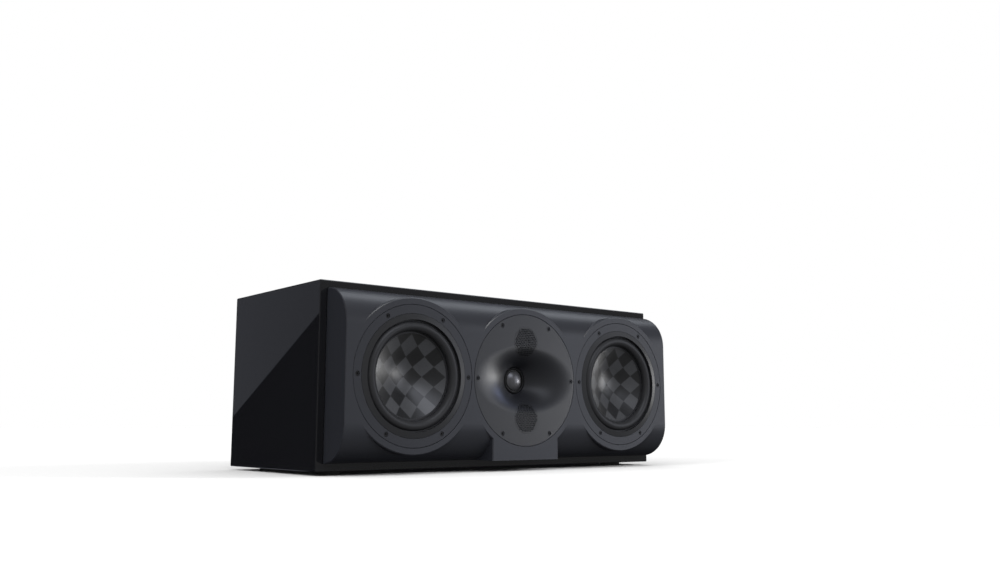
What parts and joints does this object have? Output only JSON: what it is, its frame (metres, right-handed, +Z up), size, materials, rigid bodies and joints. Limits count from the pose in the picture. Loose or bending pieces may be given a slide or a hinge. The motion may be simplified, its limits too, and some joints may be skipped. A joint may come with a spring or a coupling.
{
  "type": "center channel speaker",
  "caption": "Horizontal loudspeaker: gloss box, thick rounded front, woven-dish woofers beside an elliptical horn with a dome and perforated mid domes; ports and binding posts behind.",
  "frame": {"origin": "on the floor under the feet, at the middle of the overall box", "axes": "+X to the right seen from the front, -Y out of the front, +Z up"},
  "size_m": [0.598, 0.3286, 0.245],
  "materials": {
    "lacquer": "high gloss black lacquer on fibreboard",
    "rear_paint": "satin black paint on fibreboard",
    "fibreboard": "bare fibreboard",
    "foot_rubber": "matt",
    "baffle_paint": "satin dark grey paint on fibreboard",
    "foam": "closed cell foam",
    "black_screw": "black oxide",
    "waveguide_plastic": "satin moulded",
    "grille_plastic": "satin moulded",
    "chamber_plastic": "moulded",
    "port_plastic": "satin moulded",
    "frame_paint": "satin dark grey paint on cast metal",
    "trim": "satin moulded",
    "surround_rubber": "matt",
    "woven_cone": "checkered spread tow under clear resin",
    "spider_cloth": "resin treated cloth",
    "former_film": "amber film",
    "copper_winding": "enamelled wire",
    "plated_steel": "zinc plated",
    "ferrite": "ceramic magnet",
    "neodymium": "nickel plated",
    "dome_metal": "thin formed metal",
    "plate_paint": "black anodised",
    "gilt_brass": "gilt",
    "black_cap": "moulded grip",
    "red_cap": "moulded grip",
    "board": "glass fibre board",
    "capacitor_film": "film wrap",
    "ceramic": "unglazed"
  },
  "bodies": {
    "cabinet": {"cabinet_shell": "lacquer", "rear_panel": "rear_paint", "left_brace": "fibreboard", "right_brace": "fibreboard", "feet": "foot_rubber", "front_baffle": "baffle_paint", "driver_gaskets": "foam", "driver_screws": "black_screw", "waveguide": "waveguide_plastic", "upper_grille": "grille_plastic", "lower_grille": "grille_plastic", "dome_chamber": "chamber_plastic", "left_port": "port_plastic", "right_port": "port_plastic", "dome_cups": "plated_steel", "dome_magnets": "neodymium", "dome_pole_plates": "plated_steel", "terminal_plate": "plate_paint", "terminal_screws": "black_screw", "post_nuts": "gilt_brass", "left_post_stud": "gilt_brass", "right_post_stud": "gilt_brass", "crossover_board": "board", "crossover_inductors": "copper_winding", "crossover_capacitors": "capacitor_film", "crossover_resistors": "ceramic", "left_woofer_basket": "frame_paint", "left_woofer_trim_ring": "trim", "left_woofer_surround": "surround_rubber", "left_woofer_spider": "spider_cloth", "left_woofer_top_plate": "plated_steel", "left_woofer_magnet": "ferrite", "left_woofer_yoke": "plated_steel", "right_woofer_basket": "frame_paint", "right_woofer_trim_ring": "trim", "right_woofer_surround": "surround_rubber", "right_woofer_spider": "spider_cloth", "right_woofer_top_plate": "plated_steel", "right_woofer_magnet": "ferrite", "right_woofer_yoke": "plated_steel", "tweeter_surround": "surround_rubber", "upper_mid_surround": "surround_rubber", "lower_mid_surround": "surround_rubber"},
    "left_cone": {"left_woofer_cone": "woven_cone", "left_woofer_coil_former": "former_film", "left_woofer_voice_coil": "copper_winding"},
    "right_cone": {"right_woofer_cone": "woven_cone", "right_woofer_coil_former": "former_film", "right_woofer_voice_coil": "copper_winding"},
    "tweeter_diaphragm": {"tweeter_dome": "dome_metal", "tweeter_coil": "copper_winding"},
    "upper_mid_diaphragm": {"upper_mid_dome": "dome_metal", "upper_mid_coil": "copper_winding"},
    "lower_mid_diaphragm": {"lower_mid_dome": "dome_metal", "lower_mid_coil": "copper_winding"},
    "left_washer": {"left_post_washer": "gilt_brass"},
    "left_cap": {"left_post_cap": "black_cap"},
    "right_washer": {"right_post_washer": "gilt_brass"},
    "right_cap": {"right_post_cap": "red_cap"}
  },
  "joints": [
    {"name": "left_cone_excursion", "type": "slide", "parent": "cabinet", "child": "left_cone", "axis": [0, -1, 0], "range_m": [-0.006, 0.006], "stiffness_N_per_m": 1200, "deforming": ["left_woofer_surround", "left_woofer_spider"]},
    {"name": "right_cone_excursion", "type": "slide", "parent": "cabinet", "child": "right_cone", "axis": [0, -1, 0], "range_m": [-0.006, 0.006], "stiffness_N_per_m": 1200, "deforming": ["right_woofer_surround", "right_woofer_spider"]},
    {"name": "tweeter_excursion", "type": "slide", "parent": "cabinet", "child": "tweeter_diaphragm", "axis": [0, -1, 0], "range_m": [-0.0005, 0.0005], "stiffness_N_per_m": 400, "deforming": ["tweeter_surround"]},
    {"name": "upper_mid_excursion", "type": "slide", "parent": "cabinet", "child": "upper_mid_diaphragm", "axis": [0, -1, 0], "range_m": [-0.0005, 0.0005], "stiffness_N_per_m": 400, "deforming": ["upper_mid_surround"]},
    {"name": "lower_mid_excursion", "type": "slide", "parent": "cabinet", "child": "lower_mid_diaphragm", "axis": [0, -1, 0], "range_m": [-0.0005, 0.0005], "stiffness_N_per_m": 400, "deforming": ["lower_mid_surround"]},
    {"name": "left_post_travel", "type": "slide", "parent": "cabinet", "child": "left_washer", "axis": [0, 1, 0], "range_m": [0, 0.005]},
    {"name": "left_post_turn", "type": "hinge", "parent": "left_washer", "child": "left_cap", "pos_m": [-0.022, 0.1353, 0.125], "axis": [0, 1, 0], "range_deg": [0, 1801]},
    {"name": "right_post_travel", "type": "slide", "parent": "cabinet", "child": "right_washer", "axis": [0, 1, 0], "range_m": [0, 0.005]},
    {"name": "right_post_turn", "type": "hinge", "parent": "right_washer", "child": "right_cap", "pos_m": [0.022, 0.1353, 0.125], "axis": [0, 1, 0], "range_deg": [0, 1801]}
  ],
  "couplings": [
    {"joint": "left_post_turn", "follows": "left_post_travel", "rad_per_m": 6283.2},
    {"joint": "right_post_turn", "follows": "right_post_travel", "rad_per_m": 6283.2}
  ]
}
